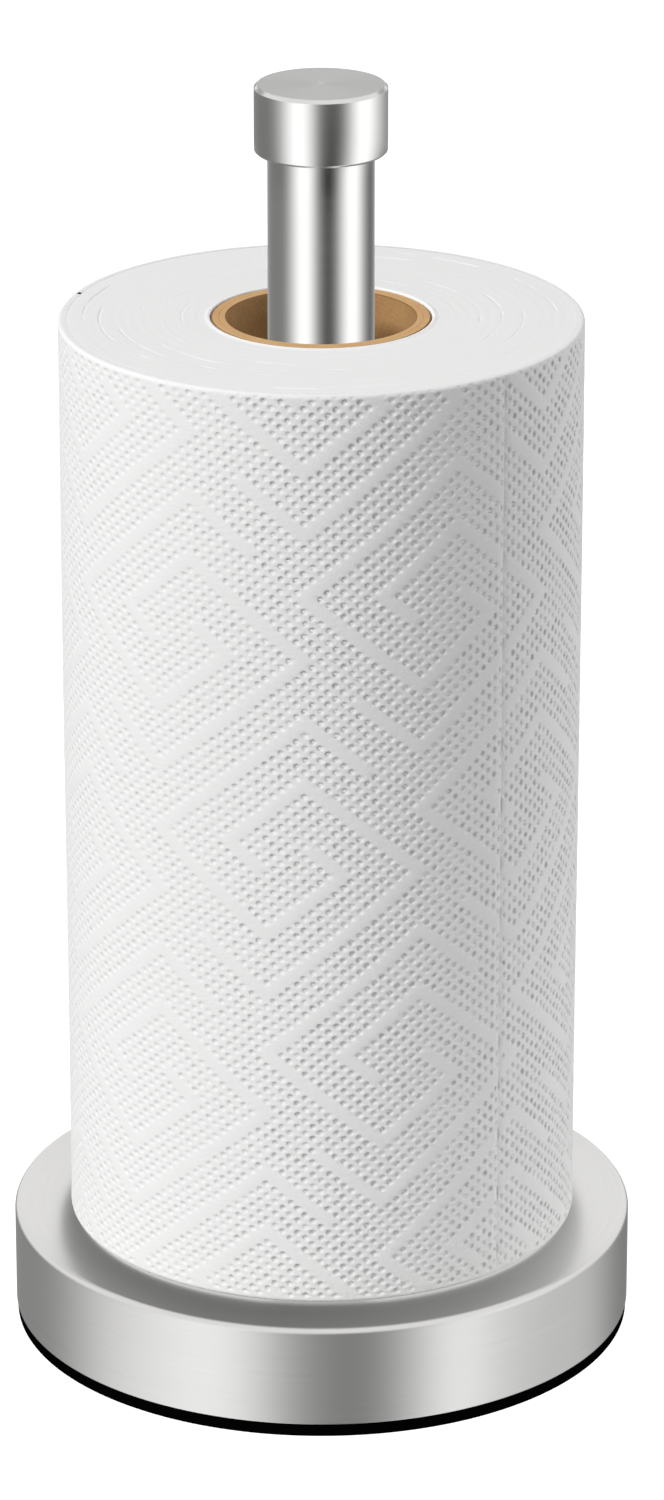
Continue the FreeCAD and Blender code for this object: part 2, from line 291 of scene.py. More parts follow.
def brushed_steel(name, tint, roughness, grain, relief):
    """Stainless steel with fine lines that run round the Z axis."""
    shader = Shader(name, Metallic=1.0, Anisotropic=0.75, Anisotropic_Rotation=0.25)
    fine = shader.noise(shader.round_z(2.0, 5200.0), 1.0, detail=3.0, roughness=0.65)
    broad = shader.noise(shader.round_z(1.2, 900.0), 1.0, detail=4.0, roughness=0.6)
    lines = shader.math("ADD", shader.math("MULTIPLY", fine, 0.45),
                        shader.math("MULTIPLY", broad, 0.55))
    dark = tuple(channel * (1 - grain) for channel in tint) + (1.0,)
    light = tuple(min(1.0, channel * (1 + grain)) for channel in tint) + (1.0,)
    tangent = shader.node("Tangent", direction_type="RADIAL", axis="Z").outputs[0]
    patches = shader.noise(shader.round_z(5.0, 70.0), 1.0, detail=2.0)
    shown = shader.node("MapRange", {0: patches, 1: 0.42, 2: 0.62, 3: 0.35, 4: 1.0}).outputs[0]
    around = shader.math("MULTIPLY_ADD", shader.math("SUBTRACT", lines, 0.5), shown, 0.5)
    spread = shader.node("MapRange", {0: around, 1: 0.3, 2: 0.7, 3: 0.0, 4: 1.0}).outputs[0]
    return shader.set(
        Base_Color=shader.blend(spread, dark, light),
        Roughness=shader.blend(spread, roughness - 0.02, roughness + 0.03),
        Tangent=tangent,
        Normal=shader.bump(around, relief, 0.00003),
    )


def plain_metal(name, tint, roughness, mottle, scale):
    """A turned, plated or cast metal with a fine uneven surface."""
    shader = Shader(name, Metallic=1.0)
    grain = shader.noise(shader.place(), scale, detail=5.0, roughness=0.6)
    dark = tuple(channel * (1 - mottle) for channel in tint) + (1.0,)
    light = tuple(min(1.0, channel * (1 + mottle)) for channel in tint) + (1.0,)
    return shader.set(
        Base_Color=shader.blend(grain, dark, light),
        Roughness=shader.blend(grain, roughness - 0.08, roughness + 0.08),
        Normal=shader.bump(grain, 0.25, 0.0002),
    )


def moulded(name, tint, roughness, scale, depth, gloss=0.5):
    """Plastic or rubber with a fine moulded texture."""
    shader = Shader(name, Specular_IOR_Level=gloss)
    grain = shader.noise(shader.place(), scale, detail=4.0, roughness=0.55)
    dark = tuple(channel * 0.8 for channel in tint) + (1.0,)
    light = tuple(min(1.0, channel * 1.2) for channel in tint) + (1.0,)
    return shader.set(
        Base_Color=shader.blend(grain, dark, light),
        Roughness=shader.blend(grain, roughness - 0.06, roughness + 0.06),
        Normal=shader.bump(grain, 0.3, depth),
    )


def core_board():
    """Brown wound board with long pale and dark fibres. Its walls get a darker brown as painted
    shade, and a thin painted shade line runs along the edges of its end faces.
    """
    shader = Shader("core_board", Specular_IOR_Level=0.15)
    place = shader.place()
    fibres = shader.noise(shader.round_z(26.0, 1500.0), 1.0, detail=4.0, roughness=0.7)
    patches = shader.noise(place, 90.0, detail=3.0)
    share = shader.math("ADD", shader.math("MULTIPLY", fibres, 0.6),
                        shader.math("MULTIPLY", patches, 0.4))
    spread = shader.node("MapRange", {0: share, 1: 0.35, 2: 0.65, 3: 0.0, 4: 1.0}).outputs[0]
    tan = shader.blend(spread, (0.61, 0.360, 0.163, 1.0), (0.71, 0.458, 0.225, 1.0))
    # Painted shade: the walls, faces that don't look up or down, get this darker brown, and the
    # end faces the tan.
    shaded_wall_brown = shader.blend(spread, (0.35, 0.193, 0.080, 1.0), (0.47, 0.280, 0.125, 1.0))
    facing = shader.node("SeparateXYZ", {0: shader.node("TexCoord").outputs["Normal"]}).outputs
    level = shader.math("ABSOLUTE", facing[2])
    cut = shader.node("MapRange", {0: level, 1: 0.55, 2: 0.95, 3: 0.0, 4: 1.0}).outputs[0]
    # Painted shade: a thin dark line on the end faces, along both their inner and outer edges.
    middle = (CORE_BORE + CORE_RADIUS) / 2
    off_middle = shader.math("ABSOLUTE", shader.math("SUBTRACT", shader.radius(), middle))
    reach = (CORE_RADIUS - CORE_BORE) / 2
    edge_shade_band = {0: off_middle, 1: reach - 0.45 * MM, 2: reach - 0.20 * MM, 3: 0.0, 4: 0.9}
    edge_painted_shade = shader.math("MULTIPLY", shader.node("MapRange", edge_shade_band).outputs[0], level)
    face = shader.blend(cut, shaded_wall_brown, tan)
    return shader.set(
        Base_Color=shader.blend(edge_painted_shade, face, (0.16, 0.075, 0.028, 1.0)),
        Roughness=shader.blend(fibres, 0.78, 0.95),
        Normal=shader.bump(fibres, 0.4, 0.0002),
    )


PAPER_WHITE = (0.925, 0.925, 0.921, 1.0)
# darker paper grey, for the random mottle and for the painted shade in the pits
PAPER_MOTTLE_AND_PIT_SHADE = (0.660, 0.660, 0.655, 1.0)
LATTICE_RIGHT = 9.7 * MM  # one step of the emboss pattern, across the roll
LATTICE_UP = 8.0 * MM  # and up it
DOTS_PER_STEP = 5
DIMPLE_RADIUS = 0.98 * MM


def embossed_paper():
    """Soft white tissue. The mesh carries the emboss; this rounds each dimple, adds fibres and
    paints shade into the pits.
    """
    shader = Shader("embossed_paper", Specular_IOR_Level=0.08)
    spots = shader.node("UVMap", uv_map="dots").outputs[0]
    parts = shader.node("SeparateXYZ", {0: spots}).outputs
    dot = shader.node("VectorMath", {0: spots, 1: (0.5, 0.5, 0.0)}, operation="ADD").outputs[0]
    dot = shader.node("VectorMath", {0: dot}, operation="FLOOR").outputs[0]
    chance = shader.node("TexWhiteNoise", {"Vector": dot}, noise_dimensions="3D").outputs
    aside = shader.node("SeparateXYZ", {0: chance["Color"]}).outputs
    first = shader.node("Math", {0: parts[0], 1: 0.5, 2: -0.5}, operation="WRAP").outputs[0]
    first = shader.math("ADD", first, shader.math("MULTIPLY_ADD", aside[0], 0.16, -0.08))
    second = shader.node("Math", {0: parts[1], 1: 0.5, 2: -0.5}, operation="WRAP").outputs[0]
    second = shader.math("ADD", second, shader.math("MULTIPLY_ADD", aside[1], 0.16, -0.08))
    right = shader.math("MULTIPLY", shader.math("ADD", first, second),
                        LATTICE_RIGHT / DOTS_PER_STEP)
    up = shader.math("MULTIPLY", shader.math("SUBTRACT", first, second),
                     LATTICE_UP / DOTS_PER_STEP)
    away = shader.math("SQRT", shader.math("ADD", shader.math("MULTIPLY", right, right),
                                           shader.math("MULTIPLY", up, up)))
    present = shader.node("Attribute", attribute_name="dot_here").outputs["Fac"]
    present = shader.math("MULTIPLY", present, shader.math("MULTIPLY_ADD", aside[2], 0.7, 0.6))
    wide = {0: away, 1: DIMPLE_RADIUS, 2: 0.15 * DIMPLE_RADIUS, 3: 0.0, 4: 1.0}
    hollow = shader.node("MapRange", wide, interpolation_type="SMOOTHSTEP").outputs[0]
    pressed = shader.math("MULTIPLY", hollow, present)
    # Painted shade in each pit, standing in for the shadow inside it. Through dot_here it is
    # weaker where the roll is pressed lightly, on the side toward the key light.
    pit_shade_size = {0: away, 1: DIMPLE_RADIUS * 0.75, 2: 0.0, 3: 0.0, 4: 1.0}
    painted_pit_shade = shader.node("MapRange", pit_shade_size, interpolation_type="SMOOTHSTEP").outputs[0]
    pit_shade_strength = shader.node("MapRange", {0: present, 1: 0.45, 2: 1.15, 3: 0.0, 4: 1.2}).outputs[0]
    shade = shader.math("MULTIPLY", painted_pit_shade, pit_shade_strength)
    fibres = shader.noise(shader.place(), 1500.0, detail=4.0, roughness=0.7)
    cloudy = shader.noise(shader.place(), 160.0, detail=3.0)
    mottle = shader.math("MULTIPLY_ADD", cloudy, 0.06, shader.math("MULTIPLY", fibres, 0.16))
    mottle_and_pit_shade = shader.math("ADD", shade, mottle)
    dents = shader.bump(shader.math("MULTIPLY", pressed, -1.0), 1.0, 0.00042)
    return shader.set(
        Base_Color=shader.blend(mottle_and_pit_shade, PAPER_WHITE, PAPER_MOTTLE_AND_PIT_SHADE),
        Roughness=shader.blend(fibres, 0.9, 1.0),
        Normal=shader.bump(fibres, 0.50, 0.00028, under=dents),
    )


def wound_paper_ends():
    """The cut ends of the wound paper: the same tissue with hair lines between its turns, and
    painted highlights by the core and by the outer edge.
    """
    shader = Shader("wound_paper_ends", Specular_IOR_Level=0.08)
    turns = shader.noise(shader.round_z(3.0, 2600.0), 1.0, detail=3.0, roughness=0.7)
    fibres = shader.noise(shader.place(), 2200.0, detail=3.0, roughness=0.6)
    spread = shader.node("MapRange", {0: turns, 1: 0.56, 2: 0.74, 3: 0.0, 4: 1.0}).outputs[0]
    lines = shader.bump(turns, 0.25, 0.00008)
    radius = shader.radius()
    # Painted highlight: the paper turns lighter by the core and by the outer edge, where the
    # rounded rims catch the light.
    core_rim_highlight = {0: radius, 1: CORE_RADIUS + 1.3 * MM, 2: CORE_RADIUS + 0.8 * MM, 3: 0.0, 4: 1.0}
    side_rim_highlight = {0: radius, 1: WOUND_RADIUS - 3.0 * MM, 2: WOUND_RADIUS - 1.5 * MM, 3: 0.0, 4: 0.6}
    rim = shader.math("MAXIMUM", shader.node("MapRange", core_rim_highlight).outputs[0],
                      shader.node("MapRange", side_rim_highlight).outputs[0])
    face = shader.blend(spread, (0.900, 0.900, 0.897, 1.0), (0.865, 0.865, 0.862, 1.0))
    return shader.set(
        Base_Color=shader.blend(rim, face, (0.960, 0.960, 0.957, 1.0)),
        Roughness=shader.blend(fibres, 0.9, 1.0),
        Normal=shader.bump(fibres, 0.25, 0.00005, under=lines),
    )


STEEL_TINT = (0.655, 0.652, 0.643)
base_steel = brushed_steel("base_steel", STEEL_TINT, 0.29, 0.05, 0.16)
post_steel = brushed_steel("post_steel", STEEL_TINT, 0.22, 0.008, 0.02)
knob_steel = brushed_steel("knob_steel", STEEL_TINT, 0.24, 0.012, 0.03)
black_rubber = moulded("black_rubber", (0.0012, 0.0012, 0.0012), 0.85, 1400.0, 0.0002, gloss=0.0)
black_plastic = moulded("black_plastic", (0.03, 0.03, 0.032), 0.6, 1800.0, 0.0001)
white_nylon = moulded("white_nylon", (0.78, 0.78, 0.75), 0.5, 900.0, 0.0001)
cast_iron = plain_metal("cast_iron", (0.16, 0.16, 0.165), 0.62, 0.35, 700.0)
zinc_plate = plain_metal("zinc_plate", (0.62, 0.63, 0.62), 0.34, 0.10, 500.0)
turned_aluminium = plain_metal("turned_aluminium", (0.77, 0.77, 0.78), 0.30, 0.06, 900.0)
board = core_board()
paper = embossed_paper()
paper_ends = wound_paper_ends()

HIDDEN_NODES = {
    "base_weight": cast_iron,
    "base_tray": black_plastic,
    "tray_screws": zinc_plate,
    "anchor_bolt": zinc_plate,
    "flat_washer": zinc_plate,
    "spring_washer": zinc_plate,
    "post_gasket": black_rubber,
    "post_foot_insert": turned_aluminium,
    "post_top_insert": turned_aluminium,
    "knob_plug": black_plastic,
    "knob_stud": zinc_plate,
    "knob_washer": white_nylon,
}
for node_name, material in HIDDEN_NODES.items():
    for material_slot in frame["nodes"][node_name].material_slots:
        material_slot.material = material

# ---- base, post and knob ---------------------------------------------------------------------


def base_shell():
    """The drawn steel cover, with its rolled top edge and hemmed foot."""
    inside = BASE_RADIUS - STEEL
    hem = STEEL * 0.45
    outline = [
        (COVER_BORE, BASE_TOP - STEEL, 0),
        (inside, BASE_TOP - STEEL, BASE_EDGE - STEEL),
        (inside, BASE_FOOT, hem),
        (BASE_RADIUS, BASE_FOOT, hem),
        (BASE_RADIUS, BASE_TOP, BASE_EDGE),
        (COVER_BORE, BASE_TOP, 0.3 * MM),
    ]
    points, faces = turned([tuple(p) for p in rounded(outline[::-1])], 256)
    return mesh_object(
        "base_shell", points, faces, "stand", "base_cover", base_steel
    )


def foot_pad():
    """Foam rubber pad with three grip grooves underneath."""
    outline = [(0, 0, 0)]
    for radius in PAD_GROOVES:
        inner = radius - PAD_GROOVE_HALF_WIDTH
        outer = radius + PAD_GROOVE_HALF_WIDTH
        outline += [
            (inner, 0, 0.3 * MM),
            (inner, PAD_GROOVE_DEPTH, 0.4 * MM),
            (outer, PAD_GROOVE_DEPTH, 0.4 * MM),
            (outer, 0, 0.3 * MM),
        ]
    outline += [
        (PAD_RADIUS, 0, 0.6 * MM),
        (PAD_RADIUS, BASE_FOOT, 0.4 * MM),
        (0, BASE_FOOT, 0),
    ]
    points, faces = turned([tuple(p) for p in rounded(outline, steps=4)], 192)
    return mesh_object(
        "foot_pad", points, faces, "stand", "non_slip_pad", black_rubber
    )


def post():
    """The steel tube, with eased ends."""
    outline = [
        (POST_BORE, POST_FOOT, 0),
        (POST_RADIUS, POST_FOOT, 0.3 * MM),
        (POST_RADIUS, POST_TOP, 0.3 * MM),
        (POST_BORE, POST_TOP, 0),
    ]
    points, faces = turned([tuple(p) for p in rounded(outline)], 160)
    return mesh_object(
        "post", points, faces, "stand", "post_tube", post_steel
    )


def knob():
    """The steel cap of the knob: bevelled edges and a shallow turned dimple in its middle."""
    inside = KNOB_RADIUS - KNOB_WALL
    ceiling = KNOB_TOP - KNOB_WALL
    outline = [
        (KNOB_RADIUS - KNOB_FOOT_BEVEL, POST_TOP, 0.12 * MM),
        (KNOB_RADIUS, POST_TOP + KNOB_FOOT_BEVEL, 0.25 * MM),
        (KNOB_RADIUS, KNOB_TOP - KNOB_TOP_BEVEL, 0.25 * MM),
        (KNOB_RADIUS - KNOB_TOP_BEVEL, KNOB_TOP, 0.25 * MM),
        (0.9 * MM, KNOB_TOP, 0.3 * MM),
        (0, KNOB_TOP - 0.25 * MM, 0),
        (0, ceiling, 0),
        (inside, ceiling, 0.2 * MM),
        (inside, POST_TOP, 0.12 * MM),
    ]
    points, faces = turned([tuple(p) for p in rounded(outline)], 192)
    return mesh_object(
        "knob", points, faces, "stand", "knob_cap", knob_steel
    )


# ---- cardboard core --------------------------------------------------------------------------


def core_ply(name, inner, outer, body, replaced, seam_on_bore):
    """One ply of the wound core. With seam_on_bore, it gets a helical butt joint on its bore."""
    bore_lip = 0.35 * MM if seam_on_bore else 0.05 * MM
    outside_lip = 0.05 * MM if seam_on_bore else 0.45 * MM
    rows = 160
    outline = [(outer, ROLL_FOOT, outside_lip), (outer, ROLL_TOP, outside_lip)]
    head = rounded(outline + [(inner, ROLL_TOP, bore_lip), (inner, ROLL_FOOT, bore_lip)])
    bore = []
    for point, following in zip(head, head[1:] + head[:1]):
        bore.append(tuple(point))
        if (point - following).length > (ROLL_TOP - ROLL_FOOT) / 2:
            bore += [tuple(point.lerp(following, k / rows)) for k in range(1, rows)]
    points, faces = turned(bore, 160)
    if seam_on_bore:
        cloud = np.array(points)
        radius = np.hypot(cloud[:, 0], cloud[:, 1])
        turn = np.arctan2(cloud[:, 1], cloud[:, 0]) / TURN
        pitch = 78 * MM
        off = (cloud[:, 2] / pitch - turn + 0.5) % 1.0 - 0.5
        groove = 0.25 * MM * np.exp(-((off * pitch / (0.9 * MM)) ** 2))
        on_bore = radius < inner + 0.02 * MM
        factor = 1 + np.where(on_bore, groove / radius, 0.0)
        cloud[:, :2] *= factor[:, None]
        points = cloud
    return mesh_object(name, points, faces, body, replaced, board)


# ---- wound paper -----------------------------------------------------------------------------

GAP_RINGS = (  # radius, how deep it is, and how its dashes fall round the roll
    (34.0 * MM, 0.22 * MM, 0.4),
    (39.5 * MM, 0.30 * MM, 1.7),
    (44.6 * MM, 0.34 * MM, 3.1),
    (49.5 * MM, 0.30 * MM, 4.4),
    (54.0 * MM, 0.38 * MM, 5.6),
    (58.6 * MM, 0.42 * MM, 0.9),
)
RING_GAP_WIDTH = 0.22 * MM


def layer_gaps(radius, turn):
    """Depth of the slack gaps between turns of paper, which come and go round the roll."""
    depth = np.zeros_like(radius)
    for ring, deep, phase in GAP_RINGS:
        drift = 1.1 * MM * turn / TURN + 0.35 * MM * np.sin(2 * turn + phase)
        dashes = (
            0.5 * np.sin(3 * turn + phase)
            + 0.35 * np.sin(7 * turn + 2.3 * phase)
            + 0.3 * np.sin(17 * turn + 4.1 * phase)
            + 0.25 * np.sin(41 * turn + 1.3 * phase)
        )
        share = smoothstep(0.05, 0.75, dashes)
        near = np.exp(-(((radius - ring - drift) / RING_GAP_WIDTH) ** 2))
        depth += deep * share * near
    fine = 0.018 * MM * np.sin(radius / (0.42 * MM) + turn) * (
        0.6 + 0.4 * np.sin(5 * turn + radius / (3.1 * MM))
    )
    swell = 0.05 * MM * np.sin(radius / (5.2 * MM) + 1.3 * np.sin(turn))
    return 0.7 * depth + fine + swell


def wound_paper():
    """The body of the roll: smooth sides under the sheets, and layered cut ends."""
    segments = 288
    inner = CORE_RADIUS + 0.35 * MM
    outer = WOUND_RADIUS - ROLL_EDGE
    corner = [math.pi / 2 * k / 5 for k in range(1, 6)]
    side = [(outer + ROLL_EDGE * math.sin(a), ROLL_EDGE * (1 - math.cos(a))) for a in corner]
    bore = [(CORE_RADIUS, 1.4 * MM), (CORE_RADIUS + 0.1 * MM, 0.9 * MM), (inner, 0.25 * MM)]
    profile = [(radius, ROLL_TOP - drop) for radius, drop in bore]
    profile += [(radius, ROLL_TOP) for radius in np.linspace(inner, outer, 170)]
    profile += [(radius, ROLL_TOP - drop) for radius, drop in side]
    profile += [(radius, ROLL_FOOT + drop) for radius, drop in side[::-1]]
    profile += [(radius, ROLL_FOOT) for radius in np.linspace(outer, inner, 60)]
    profile += [(radius, ROLL_FOOT + drop) for radius, drop in bore[::-1]]
    points, faces = turned(profile, segments)
    cloud = np.array(points)
    radius = np.hypot(cloud[:, 0], cloud[:, 1])
    turn = np.arctan2(cloud[:, 0], -cloud[:, 1]) % TURN
    on_end = smoothstep(inner, inner + 1.5 * MM, radius) * (
        1 - smoothstep(outer - 3 * MM, outer, radius)
    )
    rim = 0.35 * MM * np.exp(-(((radius - inner - 0.5 * MM) / (0.55 * MM)) ** 2))
    drop = layer_gaps(radius, turn) * on_end - rim + 0.06 * MM
    at_top = cloud[:, 2] > ROLL_TOP - 1e-6
    at_foot = cloud[:, 2] < ROLL_FOOT + 1e-6
    cloud[:, 2] -= np.where(at_top, drop, 0)
    cloud[:, 2] += np.where(at_foot, np.maximum(drop, 0), 0)
    faces = [face[::-1] for face in faces]
    return mesh_object(
        "wound_paper", cloud, faces, "towel_roll", "paper_roll", paper_ends
    )


# ---- the two outer sheets --------------------------------------------------------------------

MOTIF_FIRST = (20, 15)  # the emboss pattern repeats by these two steps, counted in dots
MOTIF_SECOND = (-10, 25)
CHANNELS = (  # dot rows left smooth: two hooked arms that wind round each other
    ((20, 8), (20, 0), (0, 0), (0, 15), (10, 15), (10, 11)),
    ((-5, 12), (-5, 20), (15, 20), (15, 5), (5, 5), (5, 9)),
)
MOTIF_TURN = math.radians(-3.5)  # where a motif's left corner lies, right of the front
MOTIF_DROP = 51.5 * MM  # and how far under the roll's top

DIMPLE_DEPTH = 0.52 * MM
PRESS_LOST = 0.58  # share of that depth missing where the roll is pressed lightly
LIGHT_BEARING = math.radians(-75)  # middle of the part of the roll that is pressed lightly
BAND_DEPTH = 0.03 * MM
FINE_ROW = LATTICE_UP / 15  # mesh rows, three for each row of dots
FINE_STEP = LATTICE_RIGHT / 15
SHEET_SIDE = ROLL_TOP - ROLL_FOOT - 2 * ROLL_EDGE  # height of the roll's straight side
SHEET_ARC = ROLL_EDGE * math.pi / 2  # length round one of its soft edges
CREASE_DEPTH = 0.30 * MM  # along the perforation
CREASE_WIDTH = 0.55 * MM
SLIT_OPENING = 0.30 * MM


def motif_key(first, second):
    """A number that is the same for dots which the pattern's repeat brings together."""
    size = MOTIF_FIRST[0] * MOTIF_SECOND[1] - MOTIF_FIRST[1] * MOTIF_SECOND[0]
    along = np.floor_divide(MOTIF_SECOND[1] * first - MOTIF_SECOND[0] * second, size)
    across = np.floor_divide(MOTIF_FIRST[0] * second - MOTIF_FIRST[1] * first, size)
    left = first - along * MOTIF_FIRST[0] - across * MOTIF_SECOND[0]
    over = second - along * MOTIF_FIRST[1] - across * MOTIF_SECOND[1]
    return left * 1000 + over


def channel_keys():
    """The motif keys of every dot that a channel leaves out."""
    dots = set()
    for arm in CHANNELS:
        for (a, b), (c, d) in zip(arm, arm[1:]):
            length = max(abs(c - a), abs(d - b))
            for k in range(length + 1):
                dots.add((a + (c - a) * k // length, b + (d - b) * k // length))
    first, second = np.array(sorted(dots)).T
    return np.unique(motif_key(first, second))


SMOOTH_KEYS = channel_keys()


def dot_here(first, second):
    """1 where the pattern has a dot, 0 on a channel."""
    return 1.0 - np.isin(motif_key(first, second), SMOOTH_KEYS)


def emboss(along, height):
    """Dot coordinates, how firmly a dot is pressed, and the depths of dimples and of bands."""
    right = (along - MOTIF_TURN * ROLL_RADIUS) / LATTICE_RIGHT
    up = (height - (ROLL_TOP - MOTIF_DROP)) / LATTICE_UP
    first = (right + up) / 2 * DOTS_PER_STEP
    second = (right - up) / 2 * DOTS_PER_STEP
    near_first = np.rint(first).astype(int)
    near_second = np.rint(second).astype(int)
    present = dot_here(near_first, near_second)
    over_first = first - near_first
    over_second = second - near_second
    away = np.hypot(
        (over_first + over_second) * LATTICE_RIGHT / DOTS_PER_STEP,
        (over_first - over_second) * LATTICE_UP / DOTS_PER_STEP,
    )
    hollow = np.cos(np.clip(away / (1.1 * DIMPLE_RADIUS), 0, 1) * math.pi / 2) ** 2
    uneven = 1 + 0.22 * np.sin(near_first * 12.9898 + near_second * 78.233)
    facing = np.cos(along / ROLL_RADIUS - LIGHT_BEARING)
    pressed = 1 - PRESS_LOST * smoothstep(0.1, 0.78, facing)
    low_first = np.floor(first).astype(int)
    low_second = np.floor(second).astype(int)
    share_first = first - low_first
    share_second = second - low_second
    band = (
        dot_here(low_first, low_second) * (1 - share_first) * (1 - share_second)
        + dot_here(low_first + 1, low_second) * share_first * (1 - share_second)
        + dot_here(low_first, low_second + 1) * (1 - share_first) * share_second
        + dot_here(low_first + 1, low_second + 1) * share_first * share_second
    )
    dimples = -DIMPLE_DEPTH * pressed * hollow * uneven * present
    return first, second, present * pressed, dimples, -BAND_DEPTH * band


def slack(along, height):
    """Slow swells of a sheet that isn't drawn quite tight."""
    swell = 0.5 * np.sin(along / (31 * MM) + 0.8) * np.sin(height / (53 * MM) + 0.4)
    ripple = 0.3 * np.sin(along / (11 * MM) + 1.9 * np.sin(height / (37 * MM)))
    return 0.14 * MM * (swell + ripple)


def stitch(rows):
    """Triangles between neighbouring rows of points, given each row's places along the sheet."""
    faces = []
    base = 0
    for low, high in zip(rows, rows[1:]):
        above = base + len(low)
        i = j = 0
        while i < len(low) - 1 or j < len(high) - 1:
            low_next = j == len(high) - 1 or (i < len(low) - 1 and low[i + 1] <= high[j + 1])
            if low_next:
                faces.append((base + i, base + i + 1, above + j))
                i += 1
            else:
                faces.append((base + i, above + j + 1, above + j))
                j += 1
        base = above
    return faces


def sheet_profile(travel):
    """Radius inwards from the side, height, and outward normal, at a travel up the roll's side.

    Travel 0 is where the side starts above the foot's rounded edge, and it runs on round both.
    """
    beyond = travel - SHEET_SIDE
    at_foot = np.clip(-travel / SHEET_ARC, 0, 1) * math.pi / 2
    at_top = np.clip(beyond / SHEET_ARC, 0, 1) * math.pi / 2
    lean = at_foot + at_top
    past = np.maximum(-travel - SHEET_ARC, 0) + np.maximum(beyond - SHEET_ARC, 0)
    inwards = ROLL_EDGE * (1 - np.cos(lean)) + past
    height = ROLL_FOOT + ROLL_EDGE + np.clip(travel, 0, SHEET_SIDE)
    height = height + ROLL_EDGE * (np.sin(at_top) - np.sin(at_foot))
    out_up = np.where(travel > SHEET_SIDE / 2, np.sin(lean), -np.sin(lean))
    return inwards, height, np.cos(lean), out_up


def paper_sheet(name, start, end, spiral_start, free_edge):
    """An embossed sheet between two places round the roll, as lengths along it from the front."""
    side = SHEET_SIDE
    tuck = 1.0 * MM
    origin = ROLL_TOP - MOTIF_DROP - (ROLL_FOOT + ROLL_EDGE)
    lowest = math.ceil((-SHEET_ARC - tuck - origin) / FINE_ROW)
    highest = math.floor((side + SHEET_ARC + tuck - origin) / FINE_ROW)
    motif_start = MOTIF_TURN * ROLL_RADIUS
    margin = 0.35 * MM
    rows = []
    travels = []
    for q in range(lowest, highest + 1):
        first = math.ceil(((start + margin - motif_start) / FINE_STEP - q % 2) / 2)
        last = math.floor(((end - margin - motif_start) / FINE_STEP - q % 2) / 2)
        inside = motif_start + FINE_STEP * (2 * np.arange(first, last + 1) + q % 2)
        row = np.concatenate(([start], inside, [end]))
        level = origin + q * FINE_ROW
        near_edge = min(level, side - level) < 0.6 * MM
        for share in (0, 1 / 3, 2 / 3) if near_edge else (0,):
            rows.append(row)
            travels.append(np.full(len(row), level + share * FINE_ROW))
    along = np.concatenate(rows)
    travel = np.concatenate(travels)
    inwards, height, out_flat, out_up = sheet_profile(travel)
    first, second, present, dimples, bands = emboss(along, ROLL_FOOT + ROLL_EDGE + travel)
    edge_fade = smoothstep(-0.2 * MM, 1.4 * MM, travel)
    edge_fade = edge_fade * (1 - smoothstep(side - 0.4 * MM, side + 0.9 * MM, travel))
    slow_fade = smoothstep(-0.2 * MM, 7.0 * MM, travel)
    slow_fade = slow_fade * (1 - smoothstep(side - 6.0 * MM, side + 0.9 * MM, travel))
    cut = PERFORATION * ROLL_RADIUS
    to_cut = np.abs(along - cut)
    cut_fade = smoothstep(0.3 * MM, 1.3 * MM, to_cut)
    crease = -CREASE_DEPTH * np.exp(-((to_cut / CREASE_WIDTH) ** 2))
    lift = (dimples * edge_fade + bands * slow_fade) * cut_fade
    lift = lift + crease * edge_fade + slack(along, height) * slow_fade
    turned_by = (along - spiral_start) / ROLL_RADIUS
    radius = WOUND_RADIUS + LAST_TURN / 2 * (1 + turned_by / TURN)
    if free_edge:
        to_edge = end - along
        loose = 0.5 + 0.5 * np.sin(height / (29 * MM) + 0.6)
        lift = lift * smoothstep(0, 1.5 * MM, to_edge)
        inner_fade = smoothstep(0, 14 * MM, travel) * smoothstep(0, 14 * MM, side - travel)
        lift = lift + (0.10 + 0.30 * loose) * MM * np.exp(-to_edge / (5 * MM)) * inner_fade
        radius = radius - 0.27 * MM * np.exp(-to_edge / (4 * MM)) * (1 - inner_fade)
    at_cut = to_cut < 1e-9
    slit = np.cos(height / (2.1 * MM) + 1.6 * np.sin(height / (17 * MM)))
    shift = np.where(at_cut, SLIT_OPENING * smoothstep(0.72, 0.90, slit), 0.0)
    shift = np.where(end - cut > 1e-6, shift, -shift)
    reach = radius - inwards + lift * out_flat
    turn = (along + shift) / ROLL_RADIUS
    points = np.stack(
        [reach * np.sin(turn), -reach * np.cos(turn), height + lift * out_up], axis=1
    )
    piece = mesh_object(
        name, points, stitch(rows), "towel_roll", "outer_sheet", paper
    )
    mesh = piece.data
    corner_vertex = np.empty(len(mesh.loops), dtype=np.int32)
    mesh.loops.foreach_get("vertex_index", corner_vertex)
    spots = np.stack([first, second], axis=1)[corner_vertex]
    layer = mesh.uv_layers.new(name="dots")
    layer.data.foreach_set("uv", spots.astype(np.float32).ravel())
    # dot_here feeds the shader's dimple bump and the strength of its painted pit shade.
    dot_and_pit_shade_strength = mesh.attributes.new("dot_here", "FLOAT", "POINT")
    dot_and_pit_shade_strength.data.foreach_set("value", (present * edge_fade * cut_fade).astype(np.float32))
    return piece


base_shell()
foot_pad()
post()
knob()
bore_ply_outside = CORE_SPLIT - CORE_SPLIT_GAP / 2
outside_ply_bore = CORE_SPLIT + CORE_SPLIT_GAP / 2
roll_pieces = [
    core_ply("core_bore_ply", CORE_BORE, bore_ply_outside, "roll_core", "core_inner_ply", True),
    core_ply(
        "core_outside_ply", outside_ply_bore, CORE_RADIUS, "towel_roll", "core_outer_ply", False
    ),
    wound_paper(),
]

cut_place = PERFORATION * ROLL_RADIUS
free_edge_place = cut_place + SHEET_LENGTH
turn_start = free_edge_place - TURN * ROLL_RADIUS
roll_pieces += [
    paper_sheet("last_sheet", cut_place, free_edge_place, turn_start, True),
    paper_sheet("sheet_before", turn_start - 1.5 * MM, cut_place, turn_start, False),
]

for piece in roll_pieces:
    piece.visible_glossy = False  # the steel mirrors the studio, and not the roll

